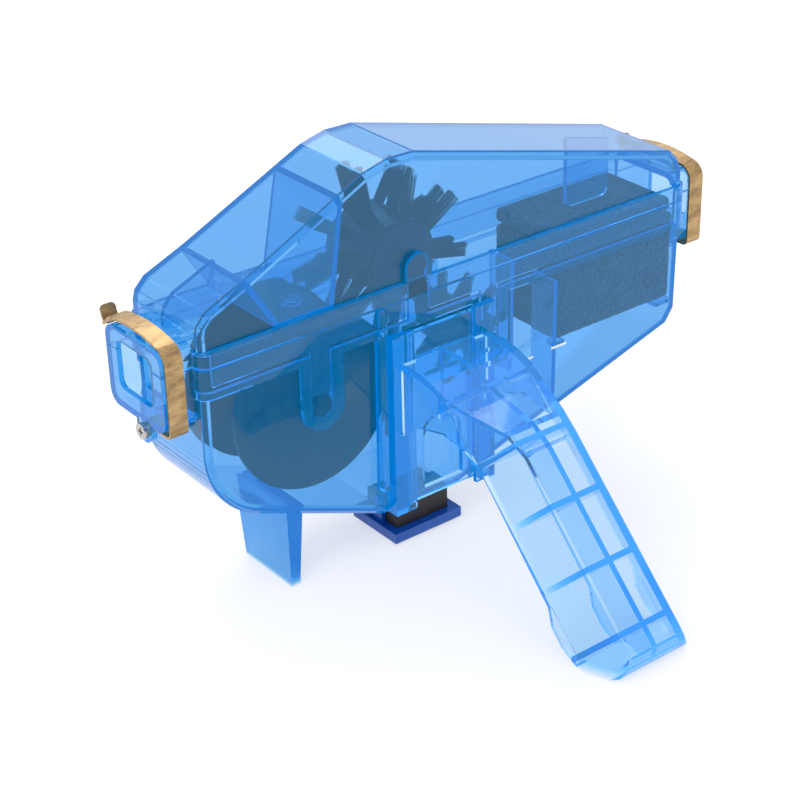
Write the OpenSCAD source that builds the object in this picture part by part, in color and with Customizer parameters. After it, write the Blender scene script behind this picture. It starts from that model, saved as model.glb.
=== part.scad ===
// Clip-on chain cleaner: a two-part clear case with rotating brushes, sponges, spring clips and a grip.
// Frame: origin at the centre of the front chain opening, +X along the chain, -Y the grip side, +Z up.

/* [Case] */
// Length over both noses
total_length = 231.2; // [200:0.2:280]
// Length of the front nose in front of the case
front_nose_length = 11.8; // [10.8:0.2:20]
// Length of the rear nose behind the case
rear_nose_length = 13.4; // [12.4:0.2:20]
// Outer width of the case walls
case_width = 39.4; // [37:0.2:46]
// Thickness of every moulded wall
wall = 1.8; // [1.2:0.1:2.4]
// How far the rim band stands proud of the wall
rim_proud = 1.5; // [1.5:0.1:2.5]
// Depth of the case floor below the chain line
floor_depth = 75.5; // [70:0.5:95]
// Length of the level part of the floor
floor_flat = 29; // [20:1:40]
// Radius of the case's lower front
front_radius = 30.5; // [24:0.5:34]
// Depth of the rear corner below the chain line
rear_corner_depth = 43.3; // [38:0.5:52]
// Width of the chamfer round the case edges
edge_chamfer = 1.4; // [0.6:0.2:2.4]
// How far each side wall of the lower case leans in by the floor
floor_lean = 1.6; // [0:0.2:2.2]
// How far each side wall of the lid leans in by the peak
lid_lean = 1.6; // [0:0.2:3.6]
// Height of the parting line above the chain line
parting_height = 4.7; // [3:0.1:6]
// Height of the band on the lower case
lower_band = 10.5; // [8:0.5:14]
// Height of the band on the lid
upper_band = 5.8; // [4.5:0.1:8]

/* [Lid] */
// Height of the roof's peak above the chain line
peak_height = 53.2; // [50:0.2:64]
// Height of the roof at its rear end
roof_rear_height = 23.7; // [21:0.2:30]
// Depth of the lid's skirt inside the lower case
skirt_depth = 7; // [4:0.5:9]
// Thickness of the skirt and of the lid's inner walls
skirt_wall = 1.2; // [0.8:0.1:1.6]
// Width of the finger that holds the upper sponge down
finger_width = 20; // [12:1:26]

/* [Noses] */
// Width of each nose
nose_width = 32.4; // [28:0.2:34]
// Height of a nose above the chain line
nose_rise = 12.6; // [11:0.2:14]
// Depth of a nose below the chain line
nose_drop = 15.7; // [13:0.1:18]
// Corner radius of a nose
nose_radius = 4.8; // [4:0.2:6.4]
// Width of the chain opening
opening_width = 20; // [14:0.5:24]
// Height of the chain opening
opening_height = 17; // [12:0.5:19]

/* [Clips] */
// Width of a clip's strap
strap_width = 6.5; // [4:0.5:7.5]
// Thickness of a clip's strap
strap_thickness = 0.8; // [0.5:0.1:1]
// How far a strap lies behind the nose's end
strap_setback = 0.9; // [0.6:0.1:3]
// Gap between a strap and the side of the nose
strap_gap = 0.4; // [0.3:0.05:0.8]
// How far the strap's top bows up
strap_crown = 1.6; // [1.4:0.1:2.4]
// Radius of the clip screw's shank
screw_radius = 1.5; // [1.2:0.1:1.8]
// Length of a clip's finger tab
tab_length = 5.8; // [4:0.2:9]

/* [Brushes] */
// Depth of the lower spindles below the chain line
lower_spindle_depth = 23; // [21:0.5:26]
// Height of the upper spindle above the chain line
upper_spindle_height = 14.5; // [13:0.5:18]
// Place of the front brush from the case front
front_brush_place = 44.4; // [40:0.5:48]
// Place of the rear brush from the case front
rear_brush_place = 114.8; // [110:0.5:120]
// Place of the upper brush from the case front
upper_brush_place = 84; // [80:0.5:88]
// Radius of a spindle's ends
spindle_radius = 3.94; // [3:0.02:4.5]
// Running gap round a spindle's ends
spindle_gap = 0.06; // [0.02:0.01:0.1]
// Radius of the upper barrel
upper_barrel_radius = 13.6; // [9:0.2:15]
// Radius over the upper tufts
upper_tuft_radius = 28.6; // [22:0.2:29]
// Radius of the front brush's side discs
disc_radius = 31; // [24:0.5:32]
// Thickness of a side disc
disc_thickness = 1.8; // [1.2:0.1:2.2]
// Radius over the front tufts
front_tuft_radius = 23.4; // [18:0.2:23.8]
// Radius over the rear tufts
rear_tuft_radius = 18.6; // [15:0.2:18.8]
// Radius of a lower barrel
lower_barrel_radius = 8.5; // [7:0.1:10]
// Thickness of one strand
strand = 0.9; // [0.5:0.1:1.1]

/* [Grip] */
// Width of the grip's face
grip_face = 22.8; // [18:0.2:28]
// Width of the grip at its open side
grip_width = 38; // [30:0.5:42]
// Place of the grip's centre from the case front
grip_place = 92.4; // [88:0.5:96]
// Reach of the grip from the case wall
grip_reach = 109.5; // [95:0.5:125]
// Thickness of the grip's skin
grip_skin = 2; // [1.4:0.1:2.6]
// Spacing of the grip's cross ribs
grip_rib_pitch = 22.5; // [18:0.5:26]

/* [Foot and magnet] */
// Height of the case floor above the surface it stands on
stand_drop = 13.3; // [12.5:0.1:30]
// Thickness of the foot blade at its top
foot_thickness = 6.4; // [4:0.2:8]
// Width of the foot blade at its top
foot_width = 30.7; // [18:0.1:33]
// Length of the magnet
magnet_length = 22.4; // [14:0.2:26]
// Width of the magnet
magnet_width = 17.5; // [8:0.5:20]
// Height of the magnet
magnet_height = 9; // [5:0.2:9.6]

/* [Hidden] */

// Round edges are drawn with this many sides
$fn = 48;
// Overrun of a cut past the face that it opens
over = 0.6;
// Gap between parts that lie loosely together
loose = 0.3;
// Half of a length, as a share
half_share = 0.5;
// Running clearance between the lid's blades and the spindles
blade_gap = 0.4;
// Widths of webs beside round pockets
pocket_web = 4.2;

// Depth of the surface it stands on below the chain line
stand_depth = floor_depth + stand_drop;

// Ends of the case along the chain
case_x0 = front_nose_length;
case_x1 = total_length - rear_nose_length;
case_length = case_x1 - case_x0;
side = case_width * half_share;
inner_side = side - wall;
band_side = side + rim_proud;
band_inner_side = band_side - wall;
rim_top = parting_height + upper_band;
band_bottom = parting_height - lower_band;
seam = loose * half_share;

// Floor of the case: the front arc ends where the slope begins
slope_angle = 22;
slope_x0 = case_x0 + front_radius - front_radius * sin(slope_angle);
arc_drop_share = 0.115;
arc_z = -lower_spindle_depth - front_radius * arc_drop_share;
slope_z0 = arc_z - front_radius * cos(slope_angle);
floor_x0 = slope_x0 + (floor_depth + slope_z0) / tan(slope_angle);
floor_x1 = floor_x0 + floor_flat;
arc_steps = 14;
corner_cut_share = 0.04;

// Points of an arc about c from angle a0 to a1
function arc(c, r, a0, a1, n) =
    [for (i = [0:n]) c + r * [cos(a0 + (a1 - a0) * i / n), sin(a0 + (a1 - a0) * i / n)]];

// Side view of the lower case, as far up as the parting line
lower_outline = concat(
    [[case_x0, parting_height]],
    arc([case_x0 + front_radius, arc_z], front_radius, 180, 270 - slope_angle, arc_steps),
    [[floor_x0, -floor_depth], [floor_x1, -floor_depth],
     [case_x1 - case_length * corner_cut_share * half_share, -rear_corner_depth - wall],
     [case_x1, -rear_corner_depth + case_length * corner_cut_share * half_share],
     [case_x1, parting_height]]);

// Side view of the lid, as shares of the case's length and of the roof's height over the rim
roof_shares = [[0, 0.11], [0.004, 0.19], [0.022, 0.28], [0.094, 0.426], [0.27, 0.83], [0.32, 0.945],
    [0.366, 1], [0.419, 0.996]];
roof_rear_shares = [[0.973, 0], [0.99, -0.26], [1, -0.62]];
roof_z = peak_height - rim_top;
upper_outline = concat(
    [for (p = roof_shares) [case_x0 + p[0] * case_length, rim_top + p[1] * roof_z]],
    [for (p = roof_rear_shares) [case_x0 + p[0] * case_length,
        roof_rear_height + p[1] * (roof_rear_height - rim_top)]],
    [[case_x1, parting_height + seam], [case_x0, parting_height + seam]]);

// Places of the spindles
front_brush_x = case_x0 + front_brush_place;
rear_brush_x = case_x0 + rear_brush_place;
upper_brush_x = case_x0 + upper_brush_place;
seat_radius = spindle_radius + spindle_gap;
pocket_border = seat_radius + pocket_web;
pocket_floor = band_side - wall;
spindle_half = pocket_floor - loose;

// Turns a side view in X and Z into a slab of the given half width
module slab(half_width) {
    rotate([90, 0, 0]) linear_extrude(2 * half_width, center = true) children();
}

// Turns an end view in Y and Z into a bar from x0 to x1
module bar(x0, x1) {
    translate([x0, 0, 0]) rotate([90, 0, 90]) linear_extrude(x1 - x0) children();
}

// Box between two corners
module block(a, b) {
    translate(a) cube(b - a);
}

// Bar along Y with its centre at x and z
module rod(x, z, r, y0, y1) {
    translate([x, y1, z]) rotate([90, 0, 0]) cylinder(h = y1 - y0, r = r);
}

// Rectangle with true round corners
module round_rect(a, b, r) {
    translate([a[0] + r, a[1]]) square([b[0] - a[0] - 2 * r, b[1] - a[1]]);
    translate([a[0], a[1] + r]) square([b[0] - a[0], b[1] - a[1] - 2 * r]);
    for (x = [a[0] + r, b[0] - r], y = [a[1] + r, b[1] - r]) translate([x, y]) circle(r);
}

// Outline moved inwards by d, for points that run clockwise or the other way by sign d
function turn_left(a, b) = [a[1] - b[1], b[0] - a[0]] / norm(b - a);
function moved(p, d) = let (n = len(p)) [for (i = [0:n - 1])
    let (u = turn_left(p[(i + n - 1) % n], p[i]), v = turn_left(p[i], p[(i + 1) % n]))
    p[i] + d * (u + v) / (1 + u * v)];

// Half width of the lower case and of the lid at height z
function lower_half(z) = side - floor_lean * (parting_height - z) / (parting_height + floor_depth);
function upper_half_width(z) = side - lid_lean * (z - parting_height) / (peak_height - parting_height);

// Body between two leaning side walls, with a chamfer all round each wall
module leaning(outline, inset, turn, chamfer, is_lid) {
    full = moved(outline, turn * inset);
    small = moved(outline, turn * (inset + chamfer));
    n = len(full);
    function half(z) = (is_lid ? upper_half_width(z) : lower_half(z)) - inset;
    points = concat(
        [for (p = small) [p[0], -half(p[1]), p[1]]],
        [for (p = full) [p[0], -half(p[1]) + chamfer, p[1]]],
        [for (p = full) [p[0], half(p[1]) - chamfer, p[1]]],
        [for (p = small) [p[0], half(p[1]), p[1]]]);
    strips = [for (r = [0:2], i = [0:n - 1]) let (k = (i + 1) % n)
        each [[r * n + i, (r + 1) * n + i, (r + 1) * n + k], [r * n + i, (r + 1) * n + k, r * n + k]]];
    caps = [[for (i = [0:n - 1]) i], [for (i = [n - 1:-1:0]) 3 * n + i]];
    faces = concat(strips, caps);
    polyhedron(points, turn > 0 ? [for (f = faces) [for (i = [len(f) - 1:-1:0]) f[i]]] : faces);
}

// End view of a nose, shrunk by inset
module nose_view(inset) {
    round_rect([-nose_width * half_share + inset, -nose_drop + inset],
        [nose_width * half_share - inset, nose_rise - inset], nose_radius - inset);
}

// End view of the chain opening
opening_radius = 3;
module opening_view() {
    round_rect([-opening_width, -opening_height] * half_share,
        [opening_width, opening_height] * half_share, opening_radius);
}

// Both noses, with x measured from their ends
module nose_bars(inset, end_wall) {
    bar(end_wall, case_x0 + wall + over) nose_view(inset);
    bar(case_x1 - wall - over, total_length - end_wall) nose_view(inset);
}

// Half space above or below a level, as long and wide as the whole object
module above(z) {
    block([-over, -band_side - over, z], [total_length + over, band_side + over, peak_height + over]);
}
module below(z) {
    block([-over, -band_side - over, -stand_depth - over], [total_length + over, band_side + over, z]);
}

// Outline of the band round the rim, shrunk by inset
band_radius = 4;
module band_view(inset) {
    round_rect([case_x0 - rim_proud * half_share + inset, -band_side + inset],
        [case_x1 + rim_proud * half_share - inset, band_side - inset], band_radius);
}

// Clip pivot, under the middle of the nose
pivot_share = 0.093;
pivot_y = -nose_width * pivot_share;
leg_gap = 0.45;
knuckle_radius = screw_radius + spindle_gap + strap_thickness * half_share;
leg_z = -nose_drop - leg_gap - strap_thickness * half_share;
pivot_z = leg_z - knuckle_radius;
lug_radius = pocket_web;
lug_gap = loose;
lug_thickness = 2.2;

// The screw's lugs in front of and behind a strap that starts at x
module lug(x0, x1) {
    bar(x0, x1) difference() {
        union() {
            translate([pivot_y, pivot_z]) circle(lug_radius);
            translate([pivot_y - lug_radius, pivot_z]) square([2 * lug_radius, -nose_drop - pivot_z + wall]);
        }
        translate([pivot_y, pivot_z]) circle(screw_radius + spindle_gap);
    }
}

// The U-shaped pocket that carries a spindle's end: side view, open upwards
module pocket_view(x, r, top) {
    translate([x, -lower_spindle_depth]) circle(r);
    translate([x - r, -lower_spindle_depth]) square([2 * r, top + lower_spindle_depth]);
}

// The same for the upper spindle, open downwards
module arch_view(r, bottom) {
    translate([upper_brush_x, upper_spindle_height]) circle(r);
    translate([upper_brush_x - r, bottom]) square([2 * r, upper_spindle_height - bottom]);
}

// Rails on the near wall that hold the grip's plate
grip_x = case_x0 + grip_place;
rail_outer_share = 0.58;
rail_inner_share = 0.345;
rail_outer = grip_width * rail_outer_share;
rail_inner = grip_width * rail_inner_share;
rail_proud = 4;
rail_top = band_bottom;
rail_bottom = -floor_depth + wall;
rail_middle = (rail_top + rail_bottom) * half_share;
rail_back = lower_half(rail_bottom) - seam;
groove_depth = 2.4;
plate_thickness = 2;
plate_y = -side - loose;
rib_gap = 2.2;
rib_width = 2.5;

module rails() {
    for (s = [-1, 1]) difference() {
        translate([grip_x + s * (rail_outer + rail_inner) * half_share,
            -(side + rail_proud + rail_back) * half_share, rail_middle])
            cube([rail_outer - rail_inner, side + rail_proud - rail_back, rail_top - rail_bottom], center = true);
        translate([grip_x + s * rail_inner, plate_y - plate_thickness * half_share, rail_middle])
            cube([2 * groove_depth, plate_thickness + 2 * seam, rail_top - rail_bottom + 2 * over],
                center = true);
    }
    // a slim upright rib beside the front rail, over the band
    rib_x = grip_x - rail_outer - rib_gap - wall;
    rib_y = -band_side - wall * half_share;
    block([rib_x, rib_y, rail_bottom + lower_band], [rib_x + rib_width, -rail_back, band_bottom + wall]);
    block([rib_x, rib_y, band_bottom], [rib_x + rib_width, rib_y + wall, parting_height - seam]);
}

// Foot blade under the front of the floor
foot_share = 0.222;
foot_x = slope_x0 + (floor_x0 - slope_x0) * foot_share;
foot_top = slope_z0 - (foot_x - slope_x0) * tan(slope_angle) + wall * half_share;
foot_shift = 0.85;
foot_near = -foot_width * half_share - foot_shift;
foot_near_lean = 0.6;
foot_far_lean = 4.3;
foot_taper_share = 0.55;

module foot() {
    hull() {
        block([foot_x, foot_near, foot_top - wall], [foot_x + foot_thickness, foot_near + foot_width, foot_top]);
        block([foot_x, foot_near - foot_near_lean, -stand_depth],
            [foot_x + foot_thickness * foot_taper_share, foot_near + foot_width - foot_far_lean,
                -stand_depth + foot_near_lean]);
    }
}

// Sponge seat: ribs in front of the lower sponge, and ledges under it
sponge_place_share = 0.36;
sponge_x0 = rear_brush_x + (case_x1 - rear_brush_x) * sponge_place_share;
sponge_x1 = case_x1 - wall - 2 * loose;
sponge_side = inner_side - floor_lean * half_share - loose;
sponge_depth = 34.5;
sponge_split = 0.4;
shelf_width = 5;
baffle_width = 12;

module sponge_ribs() {
    for (s = [-1, 1]) {
        translate([sponge_x0 - loose - wall, s > 0 ? inner_side - baffle_width : -inner_side - seam, 0])
            mirror([0, 0, 1]) translate([0, 0, lower_band])
            cube([wall, baffle_width + seam, sponge_depth + lower_band]);
        translate([sponge_x0, s > 0 ? inner_side - shelf_width : -inner_side - seam,
            -sponge_depth - loose - wall])
            cube([wall * 2, shelf_width + seam, wall]);
        translate([sponge_x1 - wall * 4, s > 0 ? inner_side - shelf_width : -inner_side - seam,
            -sponge_depth - loose - wall])
            cube([wall * 4, shelf_width + seam, wall]);
    }
}

// The case holds the solvent, the lower brushes, the lower sponge and everything that is fixed to it
module lower_case() color([0.16, 0.45, 0.85, 0.55]) {
    difference() {
        union() {
            leaning(lower_outline, 0, 1, edge_chamfer, false);
            // band round the rim
            translate([0, 0, band_bottom]) linear_extrude(parting_height - seam - band_bottom) band_view(0);
            // pockets for the lower spindles, raised outside the walls
            for (x = [front_brush_x, rear_brush_x])
                slab(band_side) pocket_view(x, pocket_border, band_bottom + wall);
            intersection() {
                nose_bars(0, 0);
                below(parting_height - seam);
            }
        }
        // inside of the case, and the wider inside of the band
        leaning(lower_open, wall, 1, edge_chamfer, false);
        translate([0, 0, band_bottom + wall]) linear_extrude(lower_band + over) band_view(wall);
        nose_bars(wall, wall);
        bar(-over, total_length + over) opening_view();
        // spindle pockets, cut from inside
        for (x = [front_brush_x, rear_brush_x])
            slab(pocket_floor) pocket_view(x, seat_radius, parting_height + over);
    }
    lug(0, lug_thickness);
    lug(strap_setback + strap_width + lug_gap, case_x0 + wall * half_share);
    lug(total_length - lug_thickness, total_length);
    lug(case_x1 - wall * half_share, total_length - strap_setback - strap_width - lug_gap);
    difference() {
        rails();
        slab(pocket_floor) pocket_view(rear_brush_x, seat_radius, parting_height + over);
    }
    foot();
    sponge_ribs();
    tongues();
}

// The inside of the case is cut upwards past the parting line, short of the rim's end walls
lower_open = [for (p = lower_outline) p[1] < parting_height - over ? p : [p[0], parting_height + 4 * wall]];

// Tongues that stand up in the lid's arches and keep the upper spindle in
tongue_half = seat_radius - loose;
tongue_top = upper_spindle_height - spindle_radius - blade_gap;
module tongues() {
    for (s = [-1, 1]) {
        y0 = s > 0 ? inner_side + seam : -pocket_floor;
        block([upper_brush_x - tongue_half, y0, band_bottom - wall],
            [upper_brush_x + tongue_half, y0 + pocket_floor - inner_side - seam, tongue_top]);
    }
}

// Hopper in the front of the lid: a leaning front wall, a floor over the front brush and a rear wall
hopper_shares = [0.094, 0.142, 0.241, 0.277];
hopper_bottom = rim_top - wall + skirt_wall * half_share;

// The lid covers the case and carries the upper brush and the upper sponge
module upper_case() color([0.2, 0.5, 0.9, 0.5]) {
    difference() {
        union() {
            leaning(upper_outline, 0, -1, edge_chamfer, true);
            translate([0, 0, parting_height + seam]) linear_extrude(upper_band - seam) band_view(0);
            // arches for the upper spindle, raised outside the walls
            slab(band_side) arch_view(seat_radius + skirt_wall, rim_top - wall);
            intersection() {
                nose_bars(0, 0);
                above(parting_height + seam);
            }
        }
        leaning(upper_open, wall, -1, edge_chamfer, true);
        translate([0, 0, parting_height - over]) linear_extrude(upper_band - wall + over) band_view(wall);
        nose_bars(wall, wall);
        bar(-over, total_length + over) opening_view();
        slab(pocket_floor) arch_view(seat_radius, parting_height - over);
    }
    skirt();
    hopper();
    boss();
    finger();
    chain_guide();
    keepers();
}

upper_open = [for (p = upper_outline) p[1] > parting_height + over ? p : [p[0], parting_height - 4 * wall]];

// Skirt that reaches down inside the lower band, open where the tongues and the noses are
skirt_side = band_inner_side - loose;
module skirt() {
    for (s = [-1, 1]) {
        y0 = s > 0 ? skirt_side - skirt_wall : -skirt_side;
        for (x = [[case_x0 + band_radius, upper_brush_x - seat_radius - skirt_wall],
                [upper_brush_x + seat_radius + skirt_wall, case_x1 - band_radius]])
            block([x[0], y0, parting_height - skirt_depth],
                [x[1], y0 + skirt_wall, rim_top - wall * half_share]);
    }
}

// Blades that close the lower pockets over the spindles
keeper_half = seat_radius - loose;
keeper_bottom = -lower_spindle_depth + spindle_radius + blade_gap;
module keepers() {
    for (s = [-1, 1], x = [front_brush_x, rear_brush_x]) {
        y0 = s > 0 ? skirt_side - skirt_wall : -skirt_side;
        block([x - keeper_half, y0, keeper_bottom], [x + keeper_half, y0 + skirt_wall, parting_height]);
    }
}

module hopper() {
    x = [for (share = hopper_shares) case_x0 + share * case_length];
    floor_top = hopper_bottom + wall;
    intersection() {
        leaning(upper_outline, wall * half_share, -1, edge_chamfer, true);
        slab(side) polygon([[x[1], hopper_bottom], [x[2] + wall, hopper_bottom],
            [x[3] + wall, peak_height], [x[3], peak_height], [x[2], floor_top],
            [x[1] + skirt_wall, floor_top], [x[0] + wall, peak_height * half_share],
            [x[0] - wall * half_share, peak_height * half_share]]);
    }
}

// Raised ring round a drip hole in the hopper's floor
boss_share = 0.2;
boss_y = -8.8;
boss_radius = 3.2;
boss_height = 1.5;
module boss() {
    difference() {
        translate([case_x0 + boss_share * case_length, boss_y, hopper_bottom + wall * half_share])
            cylinder(h = wall * half_share + boss_height, r = boss_radius);
        translate([case_x0 + boss_share * case_length, boss_y, hopper_bottom + wall])
            cylinder(h = boss_height + over, r = boss_radius - skirt_wall);
    }
}

// Finger from the roof that keeps the upper sponge down
finger_share = 0.806;
finger_drop = 4.4;
sponge_seat = 0.05;
finger_x = case_x0 + finger_share * case_length;
finger_bottom = rim_top - finger_drop;
module finger() {
    intersection() {
        leaning(upper_outline, wall * half_share, -1, edge_chamfer, true);
        translate([finger_x, wall * half_share, 0]) rotate([90, 0, 0]) linear_extrude(wall)
            round_rect([0, finger_bottom], [finger_width, peak_height], nose_radius - wall);
    }
}

// Rib under the front ramp that leads the chain in
guide_y = 1.8;
module chain_guide() {
    intersection() {
        leaning(upper_outline, wall * half_share, -1, edge_chamfer, true);
        block([case_x0, guide_y - wall * half_share, rim_top],
            [case_x0 + hopper_shares[0] * case_length + wall, guide_y + wall * half_share, peak_height]);
    }
}

// Side view of a clip: knuckle, leg, near bend, crown, kink and tab
strap_y = -nose_width * half_share - strap_gap - strap_thickness * half_share;
strap_rise = 0.7;
strap_top = nose_rise + strap_rise + strap_thickness * half_share;
near_radius = nose_radius + strap_gap;
foot_bend = 2;
bend_steps = 8;
kink_out = 2.8;
kink_fall = 2.6;
crown_inset = 1.5;
kink_y = nose_width * half_share + kink_out;
kink_z = nose_rise - kink_fall;
crown_y1 = nose_width * half_share - crown_inset;
crown_steps = 12;
crown_turn = 10;
crown_y0 = strap_y + near_radius * (1 - sin(crown_turn));
crown_z0 = strap_top - near_radius * (1 - cos(crown_turn));
clip_path = concat(
    [[pivot_y, leg_z]],
    arc([strap_y + foot_bend, leg_z + foot_bend], foot_bend, 270, 180, bend_steps),
    arc([strap_y + near_radius, strap_top - near_radius], near_radius, 180, 90 + crown_turn, bend_steps),
    [for (i = [1:crown_steps]) let (s = i / crown_steps)
        [crown_y0 + (crown_y1 - crown_y0) * s,
         crown_z0 + (strap_top - crown_z0) * s + 4 * strap_crown * s * (1 - s)]],
    [[kink_y, kink_z]]);

// Unit normal at point i of a path
function way(p, i) = let (d = p[min(i + 1, len(p) - 1)] - p[max(i - 1, 0)]) [-d[1], d[0]] / norm(d);

// Outline of a strip of thickness t along a path
function ribbon(p, t) = concat([for (i = [0:len(p) - 1]) p[i] + way(p, i) * t * half_share],
    [for (i = [len(p) - 1:-1:0]) p[i] - way(p, i) * t * half_share]);

module clip(x0, x_lug0, x_lug1) color([0.78, 0.62, 0.36]) {
    difference() {
        union() {
            bar(x0, x0 + strap_width) polygon(ribbon(clip_path, strap_thickness));
            bar(x0, x0 + strap_width) translate([pivot_y, pivot_z])
                circle(knuckle_radius + strap_thickness * half_share);
        }
        bar(x0 - over, x0 + strap_width + over) translate([pivot_y, pivot_z])
            circle(screw_radius + spindle_gap);
        // room for the outer lug
        bar(x_lug0, x_lug1) translate([pivot_y, pivot_z]) {
            circle(lug_radius + lug_gap);
            translate([-lug_radius - lug_gap, 0]) square([2 * (lug_radius + lug_gap), -nose_drop - pivot_z]);
        }
    }
    // finger tab, turned up at the far end
    tab_inset = strap_width * tab_inset_share;
    translate([x0 + strap_width * half_share, kink_y - strap_thickness * half_share, kink_z])
        rotate([-tab_lean, 0, 0]) translate([0, strap_thickness, 0]) rotate([90, 0, 0])
        linear_extrude(strap_thickness)
        round_rect([-strap_width * half_share + tab_inset, -strap_thickness * half_share],
            [strap_width * half_share - tab_inset, tab_length], tab_radius);
}
tab_inset_share = 0.08;
tab_radius = 1.6;
tab_lean = 22;
rear_strap_x = total_length - strap_setback - strap_width;

module front_clip() clip(strap_setback, -over, lug_thickness + lug_gap);
module rear_clip() clip(rear_strap_x, total_length - lug_thickness - lug_gap, total_length + over);

// Pan-head screw with a cross recess, which is a clip's hinge pin
head_radius = 2.7;
head_height = 1.5;
recess_share = 0.4;
module screw(x0, x1, head_at_start) color([0.75, 0.76, 0.78]) {
    bar(x0, x1) translate([pivot_y, pivot_z]) circle(screw_radius);
    hx = head_at_start ? x0 - head_height : x1;
    difference() {
        bar(hx, hx + head_height) translate([pivot_y, pivot_z]) circle(head_radius);
        for (a = [0, 90]) translate([head_at_start ? hx : hx + head_height, pivot_y, pivot_z])
            rotate([a, 0, 0]) cube([head_height, head_radius, head_height * recess_share], center = true);
    }
}
module front_screw() screw(0, strap_setback + strap_width + 2 * wall, true);
module rear_screw() screw(total_length - strap_setback - strap_width - 2 * wall, total_length, false);

// The grip's side view, as shares of its reach and of its drop from the crest to the standing surface
crest_z = -12.8;
grip_drop = stand_depth + crest_z;
grip_root_y = plate_y - plate_thickness;
grip_top_shares = [[0, 0.045], [0.1, 0.045], [0.155, 0.06], [0.225, 0.095], [0.3, 0.125], [0.42, 0.162],
    [0.49, 0.224], [0.94, 0.867], [0.955, 0.9], [0.957, 0.945], [0.944, 0.98], [0.915, 1], [0.81, 1]];
grip_under_shares = [[0.745, 0.955], [0.7, 0.885], [0.685, 0.8], [0.396, 0.36], [0.31, 0.29],
    [0.21, 0.27], [0.1, 0.31], [0, 0.42]];
function grip_points(shares) =
    [for (p = shares) [grip_root_y - p[0] * grip_reach, crest_z - p[1] * grip_drop]];
grip_outline = concat(grip_points(grip_top_shares), grip_points(grip_under_shares));

// Line of the grip's face and its angle below the level
grip_a = grip_points([grip_top_shares[6]])[0];
grip_b = grip_points([grip_top_shares[7]])[0];
grip_angle = atan2(grip_a[1] - grip_b[1], grip_a[0] - grip_b[0]);
grip_depth = 14.1;
grip_flare = (grip_width - grip_face) * half_share;

// Wedge that gives the grip its flared sides, along the line of its face
module grip_wedge(inset) {
    translate([grip_x, grip_a[0], grip_a[1]]) rotate([grip_angle, 0, 0]) rotate([90, 0, 0])
        linear_extrude(3 * grip_reach, center = true)
        polygon([
            [-grip_face * half_share + inset, grip_depth],
            [grip_face * half_share - inset, grip_depth],
            [grip_face * half_share - inset, -inset],
            [grip_face * half_share + grip_flare - inset, -grip_depth - inset],
            [grip_face * half_share + grip_flare - inset, -grip_reach],
            [-grip_face * half_share - grip_flare + inset, -grip_reach],
            [-grip_face * half_share - grip_flare + inset, -grip_depth - inset],
            [-grip_face * half_share + inset, -inset]]);
}

module grip_body(inset, points) {
    intersection() {
        bar(grip_x - grip_width, grip_x + grip_width) polygon(points);
        grip_wedge(inset);
    }
}

// Inside of the grip: its outline moved in by the skin, and open underneath
skin_fall_share = 1.42;
grip_inner = concat(
    [for (p = grip_points([for (i = [0:7]) grip_top_shares[i]])) p + [0, -grip_skin * skin_fall_share]],
    grip_points([[0.93, 0.95], [0.9, 0.97], [0.815, 0.97], [0.7, 1.2], [0.2, 1.1], [0, 0.9]]));

// How far the ribs lie towards the root from where the face begins
rib_lead = 3.6;

// Ribs across the grip, square to its face, and one along its middle
module grip_ribs() {
    intersection() {
        grip_body(0, grip_outline);
        union() {
            for (i = [-1:3]) translate([grip_x, grip_a[0], grip_a[1]]) rotate([grip_angle, 0, 0])
                translate([0, rib_lead - i * grip_rib_pitch, 0])
                cube([2 * grip_width, grip_skin, 3 * grip_depth], center = true);
            translate([grip_x - grip_skin * half_share, grip_root_y - grip_reach, -stand_depth])
                cube([grip_skin, grip_reach, stand_depth]);
        }
    }
}

plate_half = rail_inner - loose;
plate_top = rail_top - wall;
plate_bottom = rail_bottom + wall;
arch_half_share = 0.66;
arch_half = plate_half * arch_half_share;
arch_top_share = 0.47;

// The grip is one moulding with the plate that slides in the rails
module handle() color([0.3, 0.65, 0.95, 0.6]) {
    difference() {
        grip_body(0, grip_outline);
        // room for the rails beside the root
        for (s = [-1, 1]) translate([grip_x + s * (plate_half + grip_width * half_share),
            -(side + rail_proud + loose) * half_share, -stand_depth * half_share])
            cube([grip_width, side + rail_proud + loose, stand_depth], center = true);
        difference() {
            intersection() {
                bar(grip_x - grip_width, grip_x + grip_width) polygon(grip_inner);
                grip_wedge(grip_skin);
            }
            grip_ribs();
        }
    }
    difference() {
        translate([grip_x - plate_half, grip_root_y, plate_bottom])
            cube([2 * plate_half, plate_thickness, plate_top - plate_bottom]);
        translate([grip_x, 0, plate_bottom + (plate_top - plate_bottom) * arch_top_share - arch_half])
            rotate([90, 0, 0]) cylinder(h = 2 * side, r = arch_half);
        block([grip_x - arch_half, -2 * side, plate_bottom + 2 * wall], [grip_x + arch_half, 0,
            plate_bottom + (plate_top - plate_bottom) * arch_top_share - arch_half]);
    }
    // tongues in the rails' grooves, clear of the rear spindle's pocket
    difference() {
        for (s = [-1, 1]) translate([grip_x + s * plate_half, grip_root_y + plate_thickness * half_share,
            (plate_top + plate_bottom) * half_share])
            cube([2 * groove_depth - loose, plate_thickness - seam, plate_top - plate_bottom], center = true);
        slab(band_side + seam) pocket_view(rear_brush_x, pocket_border + seam, parting_height);
    }
}

// Magnet under the level floor, held in its tray
magnet_shift = 2.1;
magnet_inset = 3.2;
magnet_x = (floor_x0 + floor_x1) * half_share + magnet_shift;
magnet_y = -side + magnet_width * half_share + magnet_inset;
magnet_top = -floor_depth - loose;
module magnet() color([0.09, 0.09, 0.1]) {
    translate([magnet_x - magnet_length * half_share, magnet_y - magnet_width * half_share,
        magnet_top - magnet_height])
        cube([magnet_length, magnet_width, magnet_height]);
}

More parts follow.
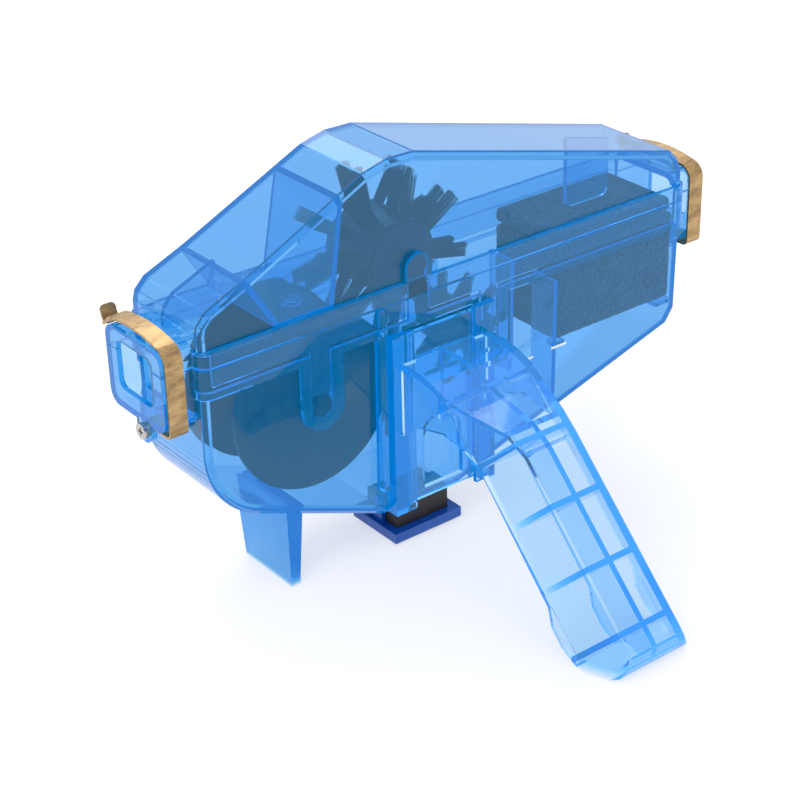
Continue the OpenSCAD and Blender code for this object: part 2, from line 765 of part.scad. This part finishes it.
// Tray with a raised lip and two slim arms that hold it to the floor
tray_lip = 1.2;
tray_rim = 3.1;
tray_bevel = 1.4;
arm_thickness = 1.6;
arm_width = 5;
tray_top = magnet_top - magnet_height - seam;
module magnet_tray() color([0.05, 0.3, 0.7]) {
    x0 = magnet_x - magnet_length * half_share - tray_rim - loose;
    x1 = magnet_x + magnet_length * half_share + tray_rim + loose;
    y0 = magnet_y - magnet_width * half_share - tray_rim - loose;
    y1 = magnet_y + magnet_width * half_share + tray_rim + loose;
    difference() {
        hull() {
            block([x0 + tray_bevel, y0 + tray_bevel, -stand_depth],
                [x1 - tray_bevel, y1 - tray_bevel, tray_top]);
            block([x0, y0, -stand_depth + tray_bevel], [x1, y1, tray_top + tray_lip]);
        }
        block([x0 + tray_rim, y0 + tray_rim, tray_top], [x1 - tray_rim, y1 - tray_rim, tray_top + tray_lip + over]);
    }
    for (x = [x0 + tray_rim - arm_thickness, x1 - tray_rim])
        block([x, magnet_y - arm_width * half_share, -stand_depth + tray_bevel],
            [x + arm_thickness, magnet_y + arm_width * half_share, magnet_top]);
}

// Lower sponge: a block between the ribs and the rear wall, with a shallow slit for the chain
slit_width = 2.2;
slit_depth = 9;
module lower_sponge() color([0.25, 0.26, 0.29]) {
    difference() {
        block([sponge_x0, -sponge_side, -sponge_depth], [sponge_x1, sponge_side, -sponge_split]);
        block([sponge_x0 - over, -slit_width * half_share, -slit_depth],
            [sponge_x1 + over, slit_width * half_share, over]);
    }
}

// Upper sponge: a low block that lies on the chain, and the finger keeps it down
module upper_sponge() color([0.25, 0.26, 0.29])
    block([sponge_x0, -sponge_side, sponge_split], [sponge_x1 - wall, sponge_side, finger_bottom - sponge_seat]);

// A barrel along Y with domed ends, bored for its spindle
dome = 1.2;
module barrel(x, z, r, half_length) {
    difference() {
        union() {
            rod(x, z, r, -half_length + dome, half_length - dome);
            rod(x, z, r - dome, -half_length, half_length);
        }
        rod(x, z, spindle_radius, -half_length - over, half_length + over);
    }
}

module spindle(x, z) {
    rod(x, z, spindle_radius, -spindle_half, spindle_half);
}

// One strand: a slim bar of four sides that narrows to its tip
tip_share = 0.4;
module strand_bar(r0, r1, a, y) {
    translate([0, y, 0]) rotate([0, a, 0]) translate([0, 0, r0])
        cylinder(h = r1 - r0, r1 = strand * half_share, r2 = strand * tip_share, $fn = 4);
}

// Rows of tufts fused to a thin sleeve on the barrel: each tuft is a fan of strands
sleeve = 0.8;
sleeve_gap = 0.1;
sleeve_sides = 64;
root_share = 0.5;
module tufted(x, z, barrel_r, tip_r, rows, per_row, strands, spread, turn) {
    sleeve_half = rows[len(rows) - 1][0] + strand;
    sleeve_r = barrel_r + sleeve_gap + sleeve;
    translate([x, 0, z]) resize([0, 0, 0]) union() {
        for (row = rows, i = [0:per_row - 1], j = [0:strands - 1])
            strand_bar(sleeve_r - sleeve * root_share, tip_r,
                360 / per_row * (i + row[1]) + turn + (j - (strands - 1) * half_share) * spread,
                row[0]);
        rotate([90, 0, 0]) difference() {
            cylinder(h = 2 * sleeve_half, r = sleeve_r, center = true, $fn = sleeve_sides);
            cylinder(h = 2 * sleeve_half + 2 * over, r = sleeve_r - sleeve, center = true, $fn = sleeve_sides);
        }
    }
}

// Upper brush: a barrel with rows of paired tufts
upper_end_gap = 5.8;
upper_half = inner_side - upper_end_gap;
upper_rows = [[-10.2, 0], [-3.6, 0], [3.6, 0.5], [10.2, 0.5]];
module upper_core() color([0.16, 0.17, 0.2]) {
    barrel(upper_brush_x, upper_spindle_height, upper_barrel_radius, upper_half);
}
module upper_bristles() color([0.08, 0.09, 0.11]) {
    tufted(upper_brush_x, upper_spindle_height, upper_barrel_radius, upper_tuft_radius,
        upper_rows, 8, 7, 1.9, 10);
}
module upper_axle() color([0.2, 0.21, 0.24]) spindle(upper_brush_x, upper_spindle_height);

// Front brush: two large discs with tufts between them
disc_gap = 3;
disc_y = inner_side - disc_gap;
front_rows = [[-5.5, 0], [0, 0.5], [5.5, 0]];
module front_core() color([0.16, 0.17, 0.2]) {
    barrel(front_brush_x, -lower_spindle_depth, lower_barrel_radius, disc_y - disc_thickness);
}
module front_bristles() color([0.08, 0.09, 0.11]) {
    tufted(front_brush_x, -lower_spindle_depth, lower_barrel_radius, front_tuft_radius,
        front_rows, 8, 4, 4, 0);
}
module disc(y0, y1) color([0.12, 0.13, 0.17]) {
    difference() {
        rod(front_brush_x, -lower_spindle_depth, disc_radius, y0, y1);
        rod(front_brush_x, -lower_spindle_depth, spindle_radius, y0 - over, y1 + over);
    }
}
module front_near_disc() disc(-disc_y, -disc_y + disc_thickness);
module front_far_disc() disc(disc_y - disc_thickness, disc_y);
module front_axle() color([0.2, 0.21, 0.24]) spindle(front_brush_x, -lower_spindle_depth);

// Rear brush: a plain small brush behind the front one
rear_rows = [[-6.5, 0], [0, 0.5], [6.5, 0]];
module rear_core() color([0.16, 0.17, 0.2]) {
    barrel(rear_brush_x, -lower_spindle_depth, lower_barrel_radius, upper_half);
}
module rear_bristles() color([0.08, 0.09, 0.11]) {
    tufted(rear_brush_x, -lower_spindle_depth, lower_barrel_radius, rear_tuft_radius,
        rear_rows, 8, 4, 5, 0);
}
module rear_axle() color([0.2, 0.21, 0.24]) spindle(rear_brush_x, -lower_spindle_depth);

lower_case();
upper_case();
handle();
front_clip();
rear_clip();
front_screw();
rear_screw();
magnet();
magnet_tray();
lower_sponge();
upper_sponge();
upper_core();
upper_bristles();
upper_axle();
front_core();
front_bristles();
front_near_disc();
front_far_disc();
front_axle();
rear_core();
rear_bristles();
rear_axle();
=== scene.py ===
import math
import random
import bmesh
import bpy
from mathutils import Matrix, Vector, noise


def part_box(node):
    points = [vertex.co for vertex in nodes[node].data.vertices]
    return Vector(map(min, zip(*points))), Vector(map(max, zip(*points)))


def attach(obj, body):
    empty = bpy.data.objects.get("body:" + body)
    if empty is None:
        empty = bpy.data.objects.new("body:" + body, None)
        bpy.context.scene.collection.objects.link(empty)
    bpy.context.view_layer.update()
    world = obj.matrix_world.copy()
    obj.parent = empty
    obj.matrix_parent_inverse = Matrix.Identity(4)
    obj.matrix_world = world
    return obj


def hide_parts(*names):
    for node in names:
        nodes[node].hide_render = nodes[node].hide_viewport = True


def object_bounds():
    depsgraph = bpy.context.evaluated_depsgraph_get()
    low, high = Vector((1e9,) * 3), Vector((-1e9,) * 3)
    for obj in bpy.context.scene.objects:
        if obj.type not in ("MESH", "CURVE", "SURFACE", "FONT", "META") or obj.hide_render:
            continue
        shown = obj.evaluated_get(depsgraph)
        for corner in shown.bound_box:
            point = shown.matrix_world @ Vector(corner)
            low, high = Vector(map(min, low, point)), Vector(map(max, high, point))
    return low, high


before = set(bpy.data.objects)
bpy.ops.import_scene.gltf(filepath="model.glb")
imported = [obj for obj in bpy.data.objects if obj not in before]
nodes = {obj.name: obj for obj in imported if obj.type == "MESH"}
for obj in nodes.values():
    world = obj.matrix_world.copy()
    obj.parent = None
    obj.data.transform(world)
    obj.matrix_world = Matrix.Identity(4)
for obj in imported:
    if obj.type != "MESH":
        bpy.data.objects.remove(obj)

cad_low, cad_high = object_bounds()
MM = 0.001


# The viewpoint. The photograph was taken from the grip's side, above the front nose, with a long
# lens. Its place and its three turns were fitted to the straight edges of the case and the noses.
camera_place = Vector((-259.219, -474.125, 280.189)) * MM
camera_yaw = math.radians(-37.361)
camera_pitch = math.radians(28.636)
camera_roll = math.radians(-1.491)
photo_side = 800
focal_pixels = 1955.7
sensor_side = 36.0
camera_data = bpy.data.cameras.new("studio_camera")
camera_data.sensor_width = sensor_side
camera_data.lens = focal_pixels / photo_side * sensor_side
camera_data.clip_start = 0.01
camera_data.clip_end = 20.0
camera = bpy.data.objects.new("studio_camera", camera_data)
bpy.context.scene.collection.objects.link(camera)
look_back = Vector((math.sin(camera_yaw) * math.cos(camera_pitch),
                    -math.cos(camera_yaw) * math.cos(camera_pitch),
                    math.sin(camera_pitch)))
level_right = Vector((math.cos(camera_yaw), math.sin(camera_yaw), 0.0))
level_up = look_back.cross(level_right)
right = math.cos(camera_roll) * level_right + math.sin(camera_roll) * level_up
up = -math.sin(camera_roll) * level_right + math.cos(camera_roll) * level_up
camera_turn = Matrix((right, up, look_back)).transposed().to_4x4()
camera.matrix_world = Matrix.Translation(camera_place) @ camera_turn
bpy.context.scene.camera = camera


# Helpers for materials. A tree is built of nodes that are added with their values and links.
def linear(hex_colour):
    """An sRGB hex colour as linear RGBA."""
    parts = [int(hex_colour[i:i + 2], 16) / 255 for i in (1, 3, 5)]
    return tuple(c / 12.92 if c <= 0.04045 else ((c + 0.055) / 1.055) ** 2.4
                 for c in parts) + (1.0,)


def add(tree, kind, settings=None, links=None):
    """Adds a node to a tree, with values for its sockets or fields. Links are
    {socket: (node, output)}, where a socket is a name or a number."""
    made = tree.nodes.new(kind)
    for name, value in (settings or {}).items():
        if name in made.inputs:
            made.inputs[name].default_value = value
        else:
            setattr(made, name, value)
    for socket, (source, output) in (links or {}).items():
        tree.links.new(source.outputs[output], made.inputs[socket])
    return made


def material(name):
    """A new material: returns it, its tree, its output and a node with its Object coordinates."""
    made = bpy.data.materials.new(name)
    made.use_nodes = True
    made.node_tree.nodes.clear()
    tree = made.node_tree
    out = add(tree, "ShaderNodeOutputMaterial")
    return made, tree, out, add(tree, "ShaderNodeTexCoord")


def grain(tree, coordinates, scale, detail=2.0, roughness=0.5):
    """Fine noise over an object's own coordinates, with scale in waves per metre."""
    return add(tree, "ShaderNodeTexNoise",
               {"Scale": scale, "Detail": detail, "Roughness": roughness},
               {"Vector": (coordinates, "Object")})


def two_tones(tree, source, output, dark, light, dark_at=0.0, light_at=1.0):
    """A colour that runs from dark to light with another node's output."""
    tone = add(tree, "ShaderNodeValToRGB", {}, {"Fac": (source, output)})
    ends = tone.color_ramp.elements
    ends[0].position = dark_at
    ends[0].color = linear(dark)
    ends[1].position = light_at
    ends[1].color = linear(light)
    return tone


def bump(tree, source, output, strength, height):
    """Small relief from another node's output, with its height in metres."""
    return add(tree, "ShaderNodeBump", {"Strength": strength, "Distance": height},
               {"Height": (source, output)})


def shade(tree, out, settings, links):
    """The tree's surface: a Principled shader with these values and links."""
    shader = add(tree, "ShaderNodeBsdfPrincipled", settings, links)
    tree.links.new(shader.outputs["BSDF"], out.inputs["Surface"])


def speckled(name, scale, detail, dark, light, settings, relief=None):
    """A solid material with two tones of fine grain, and relief as (strength, height)."""
    made, tree, out, coordinates = material(name)
    speckle = grain(tree, coordinates, scale, detail)
    links = {"Base Color": (two_tones(tree, speckle, "Fac", dark, light), "Color")}
    if relief:
        links["Normal"] = (bump(tree, speckle, "Fac", *relief), "Normal")
    shade(tree, out, settings, links)
    return made


# Helpers for pieces.
edge_segments = 2
edge_angle = 40


def piece_from(bm, name, finish, body, smooth=0.0):
    """Makes a finished piece of a bmesh: its object stays at the origin and rides on a CAD body."""
    bmesh.ops.recalc_face_normals(bm, faces=bm.faces)
    mesh = bpy.data.meshes.new(name)
    bm.to_mesh(mesh)
    bm.free()
    made = bpy.data.objects.new(name, mesh)
    bpy.context.scene.collection.objects.link(made)
    mesh.materials.append(finish)
    if smooth:
        for polygon in mesh.polygons:
            polygon.use_smooth = True
        mesh.set_sharp_from_angle(angle=math.radians(smooth))
    if body:
        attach(made, body)
    return made


def block(bm, low, high):
    """Adds a box between two corners, in the corners' own unit."""
    place = Matrix.Translation((low + high) / 2)
    bmesh.ops.create_cube(bm, size=1.0, matrix=place @ Matrix.Diagonal((high - low).to_4d()))


def dress(node, finish, round_edges=0.0):
    """Gives a carried-over CAD node its finish, and rounds its sharp edges by so many mm."""
    piece = nodes[node]
    piece.data.materials.clear()
    piece.data.materials.append(finish)
    if round_edges:
        bevel = piece.modifiers.new("edge_rounding", "BEVEL")
        bevel.width = round_edges * MM
        bevel.segments = edge_segments
        bevel.limit_method = "ANGLE"
        bevel.angle_limit = math.radians(edge_angle)
        bevel.harden_normals = True


# The studio. The cleaner stands on a white light table that glows a little from below. Two large
# soft boxes and a bright room light it evenly, so that the clear plastic shines and its shadows
# stay faint.
table_half = 1.6
table_glow = 0.58
table_middle = Vector((0.1, 0.0, 0.0))
room_strength = 0.94
soft_box_power = 6.0
soft_boxes = (("left_soft_box", (-0.9, -0.5, 1.0), 0.8), ("rear_soft_box", (0.7, 0.9, 1.1), 0.9))

opal, opal_tree, opal_out, opal_coordinates = material("opal_light_table")
opal_grain = grain(opal_tree, opal_coordinates, 900.0, 3.0)
opal_bump = bump(opal_tree, opal_grain, "Fac", 0.03, 0.0002)
shade(opal_tree, opal_out,
      {"Base Color": linear("#b4b4b6"), "Roughness": 0.9,
       "Emission Color": linear("#fdfdff"), "Emission Strength": table_glow},
      {"Normal": (opal_bump, "Normal")})
floor_mesh = bmesh.new()
bmesh.ops.create_grid(floor_mesh, x_segments=2, y_segments=2, size=table_half)
bmesh.ops.translate(floor_mesh, verts=floor_mesh.verts,
                    vec=table_middle + Vector((0.0, 0.0, cad_low.z)))
piece_from(floor_mesh, "table_floor", opal, None)

room = bpy.data.worlds.new("bright_room")
room.use_nodes = True
room_shade = room.node_tree.nodes["Background"]
room_shade.inputs["Color"].default_value = linear("#fcfdff")
room_shade.inputs["Strength"].default_value = room_strength
bpy.context.scene.world = room
bpy.context.scene.view_settings.view_transform = "Standard"

for box_name, box_place, box_size in soft_boxes:
    box_light = bpy.data.lights.new(box_name, "AREA")
    box_light.shape = "SQUARE"
    box_light.size = box_size
    box_light.energy = soft_box_power
    box = bpy.data.objects.new(box_name, box_light)
    bpy.context.scene.collection.objects.link(box)
    box.location = box_place
    box.rotation_mode = "QUATERNION"
    box.rotation_quaternion = (table_middle - Vector(box_place)).to_track_quat("-Z", "Y")


# The clear case. Lower case and lid are injection-moulded from blue-tinted polycarbonate. Their
# flat walls, 1.8 mm thick, look a pale, slightly hazy blue, while edges and ribs glow a strong
# blue. That glow is painted light: the plastic's volume gives off a blue light of its own, which
# stands in for the light that real edges and ribs gather along the wall.
scuff_dulling = 0.07
density_margin = 1.02  # keeps each part of the absorption's colour just above black


def clear_plastic(name, loss, glow, roughness):
    """Tinted clear moulding. Loss is how strongly red, green and blue are absorbed, per metre, and
    glow is the linear colour of a painted glow: the volume also gives off light, so that a very
    long path through the plastic comes to this colour."""
    made, tree, out, coordinates = material(name)
    flow = grain(tree, coordinates, 38.0)
    flow_bump = bump(tree, flow, "Fac", 0.06, 0.0008)
    scuffs = grain(tree, coordinates, 220.0, 5.0, 0.7)
    scuff_rough = add(tree, "ShaderNodeMapRange",
                      {"From Min": 0.45, "From Max": 0.75,
                       "To Min": roughness, "To Max": roughness + scuff_dulling},
                      {"Value": (scuffs, "Fac")})
    shade(tree, out,
          {"Base Color": linear("#f2f6ff"), "IOR": 1.42, "Transmission Weight": 1.0,
           "Specular IOR Level": 0.25},
          {"Normal": (flow_bump, "Normal"), "Roughness": (scuff_rough, "Result")})
    density = max(loss) * density_margin
    tint = add(tree, "ShaderNodeVolumeAbsorption",
               {"Color": tuple(1 - part / density for part in loss) + (1.0,),
                "Density": density})
    light = [part * colour for part, colour in zip(loss, glow)]
    strength = max(light)
    # Painted glow: an emission in the plastic's volume that stands in for light gathered along
    # walls and edges.
    painted_glow = add(tree, "ShaderNodeEmission",
                 {"Color": tuple(part / strength for part in light) + (1.0,),
                  "Strength": strength})
    both = add(tree, "ShaderNodeAddShader", {}, {0: (tint, "Volume"), 1: (painted_glow, "Emission")})
    tree.links.new(both.outputs["Shader"], out.inputs["Volume"])
    return made


case_plastic = clear_plastic("blue_tinted_polycarbonate", (450.0, 250.0, 135.0),
                             (0.0, 0.19, 0.66), 0.02)
dress("lower_case", case_plastic)
dress("upper_case", case_plastic)

# Two short level marks are printed on the near wall in white, where the fluid should stand. Each
# has its start and end along X and its height, in mm.
mark_spans = ((141.6, 147.6, -36.3), (156.0, 163.2, -35.9))
mark_height = 0.9
mark_skin = 0.06
mark_edge_share = 0.3
wall_at_mark = 18.86
mark_ink = speckled("white_screen_ink", 1500.0, 2.0, "#cfd9e8", "#f4f7fb", {"Roughness": 0.5})
marks = bmesh.new()
for mark_start, mark_end, mark_z in mark_spans:
    middle = Vector(((mark_start + mark_end) / 2, -wall_at_mark - mark_skin, mark_z)) * MM
    half = Vector((mark_end - mark_start, mark_skin, mark_height)) * MM / 2
    block(marks, middle - half, middle + half)
bmesh.ops.bevel(marks, geom=marks.edges[:], offset=mark_skin * mark_edge_share * MM,
                affect="EDGES", segments=1, profile=0.5, material=-1)
piece_from(marks, "level_marks", mark_ink, "case")


# The grip. It is a separate moulding of a lighter tint, open and ribbed underneath, and its plate
# slides in the two rails on the case. Its cells look nearly white, between bright blue ribs. Its
# plastic carries a stronger painted glow, an emission in its volume that brightens the ribs' blue.
grip_plastic = clear_plastic("light_blue_polycarbonate", (200.0, 92.0, 38.0),
                             (0.02, 0.27, 1.15), 0.03)
dress("handle", grip_plastic)


# Magnet and tray. The tray under the floor is moulded in a deep, nearly opaque blue. A sintered
# ferrite block lies in it and draws steel grit to the floor of the case.
dress("magnet_tray", speckled("deep_blue_moulding", 90.0, 2.0, "#053f8c", "#0858b4",
                              {"Roughness": 0.24, "IOR": 1.5}), 0.4)
dress("magnet", speckled("sintered_ferrite", 1400.0, 4.0, "#151315", "#37302f",
                         {"Roughness": 0.55}), 0.3)


# The spring clips. Each is a strip of worn, brass-coloured spring metal over a nose, rubbed dark
# and bright in patches that run along it. A cross-recess screw is its hinge pin.
clip_rounding = 0.12
screw_rounding = 0.2
brass, brass_tree, brass_out, brass_coordinates = material("worn_brass_strip")
brass_stretch = add(brass_tree, "ShaderNodeMapping", {"Scale": (0.35, 1.0, 1.0)},
                    {"Vector": (brass_coordinates, "Object")})
brass_wear = add(brass_tree, "ShaderNodeTexNoise",
                 {"Scale": 420.0, "Detail": 7.0, "Roughness": 0.7},
                 {"Vector": (brass_stretch, "Vector")})
brass_tone = two_tones(brass_tree, brass_wear, "Fac", "#8a6f4c", "#cbaa78", 0.32, 0.66)
brass_rough = add(brass_tree, "ShaderNodeMapRange", {"To Min": 0.24, "To Max": 0.5},
                  {"Value": (brass_wear, "Fac")})
brass_bump = bump(brass_tree, brass_wear, "Fac", 0.12, 0.0001)
shade(brass_tree, brass_out, {"Metallic": 0.9},
      {"Base Color": (brass_tone, "Color"), "Roughness": (brass_rough, "Result"),
       "Normal": (brass_bump, "Normal")})
dress("front_clip", brass, clip_rounding)
dress("rear_clip", brass, clip_rounding)

steel, steel_tree, steel_out, steel_coordinates = material("bright_zinc_steel")
steel_grain = grain(steel_tree, steel_coordinates, 900.0)
steel_rough = add(steel_tree, "ShaderNodeMapRange", {"To Min": 0.16, "To Max": 0.34},
                  {"Value": (steel_grain, "Fac")})
shade(steel_tree, steel_out, {"Base Color": linear("#bdbab4"), "Metallic": 1.0},
      {"Roughness": (steel_rough, "Result")})
dress("front_screw", steel, screw_rounding)
dress("rear_screw", steel, screw_rounding)


# The sponges. Two blocks of dark grey open-cell foam hold the chain between them behind the
# brushes. Each is sawn from sheet, so its faces are flat, its corners soft and its cells open all
# over.
foam, foam_tree, foam_out, foam_coordinates = material("open_cell_foam")
foam_cells = add(foam_tree, "ShaderNodeTexVoronoi", {"Scale": 900.0},
                 {"Vector": (foam_coordinates, "Object")})
foam_cloud = grain(foam_tree, foam_coordinates, 160.0, 3.0)
# The tone darkens towards the middle of each cell, where the bump sinks a pit: painted shade in the
# open pores, over a random cloud of lighter and darker grey.
pore_shade_and_cloud = add(foam_tree, "ShaderNodeMath", {"operation": "MULTIPLY"},
               {0: (foam_cells, "Distance"), 1: (foam_cloud, "Fac")})
foam_tone = two_tones(foam_tree, pore_shade_and_cloud, "Value", "#26272d", "#686b77", light_at=0.36)
foam_bump = bump(foam_tree, foam_cells, "Distance", 0.9, 0.0007)
shade(foam_tree, foam_out, {"Roughness": 0.95, "Sheen Weight": 0.25},
      {"Base Color": (foam_tone, "Color"), "Normal": (foam_bump, "Normal")})
foam_corner = 1.6
foam_cell = 1.4
foam_wave = 0.3
wave_frequency = 0.5
slit_depth = 4.4
row_tolerance = 0.1
smooth_below = 60


def foam_block(name, node, body, slit_width):
    """A soft-cornered block in a sponge's box, with a slit along its top where a width is given."""
    low, high = [Vector(corner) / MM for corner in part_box(node)]
    foam_mesh = bmesh.new()
    block(foam_mesh, low, high)
    for axis in range(3):
        steps = int((high[axis] - low[axis]) / foam_cell)
        places = [low[axis] + (high[axis] - low[axis]) * i / steps for i in range(1, steps)]
        if axis == 1 and slit_width:
            places = [place for place in places if abs(place) > slit_width]
            places += [-slit_width / 2, 0.0, slit_width / 2]
        for place in places:
            at = Vector((0, 0, 0))
            at[axis] = place
            across = Vector((0, 0, 0))
            across[axis] = 1.0
            bmesh.ops.bisect_plane(foam_mesh, plane_co=at, plane_no=across,
                                   geom=foam_mesh.verts[:] + foam_mesh.edges[:]
                                   + foam_mesh.faces[:])
    inner_low = low + Vector((foam_corner,) * 3)
    inner_high = high - Vector((foam_corner,) * 3)
    for vert in foam_mesh.verts:
        core = Vector([min(max(vert.co[i], inner_low[i]), inner_high[i]) for i in range(3)])
        out = vert.co - core
        # noise runs from -1 to 1, so the wave only takes foam away
        rough = (noise.noise(vert.co * wave_frequency) * 0.5 - 0.5) * foam_wave
        in_slit = abs(vert.co.y) < row_tolerance and vert.co.z > high.z - row_tolerance
        sunk = slit_depth if slit_width and in_slit else 0.0
        vert.co = core + out.normalized() * (foam_corner + rough) - Vector((0, 0, sunk))
    bmesh.ops.scale(foam_mesh, vec=(MM, MM, MM), verts=foam_mesh.verts)
    made = piece_from(foam_mesh, name, foam, body, smooth=smooth_below)
    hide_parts(node)


foam_block("lower_foam", "lower_sponge", "case", 1.1)
foam_block("upper_foam", "upper_sponge", "lid", 0.0)


# The brushes. Barrels, discs and spindles are moulded in a near-black nylon with a faint grain.
nylon_rounding = 0.25
nylon = speckled("dark_moulded_nylon", 700.0, 2.0, "#1d1e28", "#33343f", {"Roughness": 0.45},
                 (0.15, 0.0001))
for nylon_node in ("upper_core", "upper_axle", "front_core", "front_near_disc",
                   "front_far_disc", "front_axle", "rear_core", "rear_axle"):
    dress(nylon_node, nylon, nylon_rounding)

# The tufts are stiff black nylon strands, folded and pinned into the barrels in rows. Each tuft
# stands as a dense flat paddle whose strands splay a little towards their cut ends.
strands = speckled("black_nylon_strands", 1900.0, 1.0, "#0c0d12", "#2b2d36", {"Roughness": 0.38})
strand_radius = 0.2
tip_radius = 0.13
strand_sides = 4
tufts_per_row = 8
root_sunk = 1.0
trim_unevenness = 0.9
splay_round = 1.35
splay_along = 1.2
jitter_round = 0.02
jitter_along = 0.05


def tufts(name, node, body, hub, root_radius, tip_reach, rows, width, depth, across, along,
          turn=0.0):
    """Rows of flat tufts round a barrel along Y, in mm. Rows holds (y, share of a step), and width
    and depth are a tuft's size round the barrel and along it, filled by across x along strands."""
    chance = random.Random(name)
    tuft_mesh = bmesh.new()
    for y, shift in rows:
        for i in range(tufts_per_row):
            angle = 2 * math.pi * (i + shift) / tufts_per_row + turn
            outward = Vector((math.sin(angle), 0.0, math.cos(angle)))
            sideways = Vector((math.cos(angle), 0.0, -math.sin(angle)))
            for a in range(across):
                for b in range(along):
                    u = ((a + 0.5) / across - 0.5
                         + chance.uniform(-jitter_round, jitter_round)) * width
                    v = ((b + 0.5) / along - 0.5
                         + chance.uniform(-jitter_along, jitter_along)) * depth
                    reach = tip_reach - chance.uniform(0.0, trim_unevenness)
                    root = (outward * (root_radius - root_sunk) + sideways * u
                            + Vector((0, y + v, 0)))
                    tip = (outward * reach + sideways * u * splay_round
                           + Vector((0, y + v * splay_along, 0)))
                    flat_reach = math.hypot(tip.x, tip.z)
                    if flat_reach > tip_reach:
                        tip.x *= tip_reach / flat_reach
                        tip.z *= tip_reach / flat_reach
                    line = tip - root
                    place = Matrix.Translation((Vector(hub) + (root + tip) / 2) * MM)
                    aim = line.to_track_quat("Z", "Y").to_matrix().to_4x4()
                    bmesh.ops.create_cone(tuft_mesh, cap_ends=True, segments=strand_sides,
                                          radius1=strand_radius * MM, radius2=tip_radius * MM,
                                          depth=line.length * MM, matrix=place @ aim)
    made = piece_from(tuft_mesh, name, strands, body)
    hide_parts(node)


lower_root_radius = 9.4
tufts("upper_tufts", "upper_bristles", "upper_brush", hub=(95.8, 0.0, 14.5),
      root_radius=14.5, tip_reach=28.4,
      rows=((-10.2, 0.0), (-3.6, 0.0), (3.6, 0.5), (10.2, 0.5)),
      width=3.6, depth=2.2, across=10, along=5, turn=math.radians(10))
tufts("front_tufts", "front_bristles", "front_brush", hub=(56.2, 0.0, -23.0),
      root_radius=lower_root_radius, tip_reach=23.2, rows=((-5.5, 0.0), (0.0, 0.5), (5.5, 0.0)),
      width=2.8, depth=2.0, across=6, along=4)
tufts("rear_tufts", "rear_bristles", "rear_brush", hub=(126.6, 0.0, -23.0),
      root_radius=lower_root_radius, tip_reach=18.4, rows=((-6.5, 0.0), (0.0, 0.5), (6.5, 0.0)),
      width=2.8, depth=2.0, across=6, along=4)
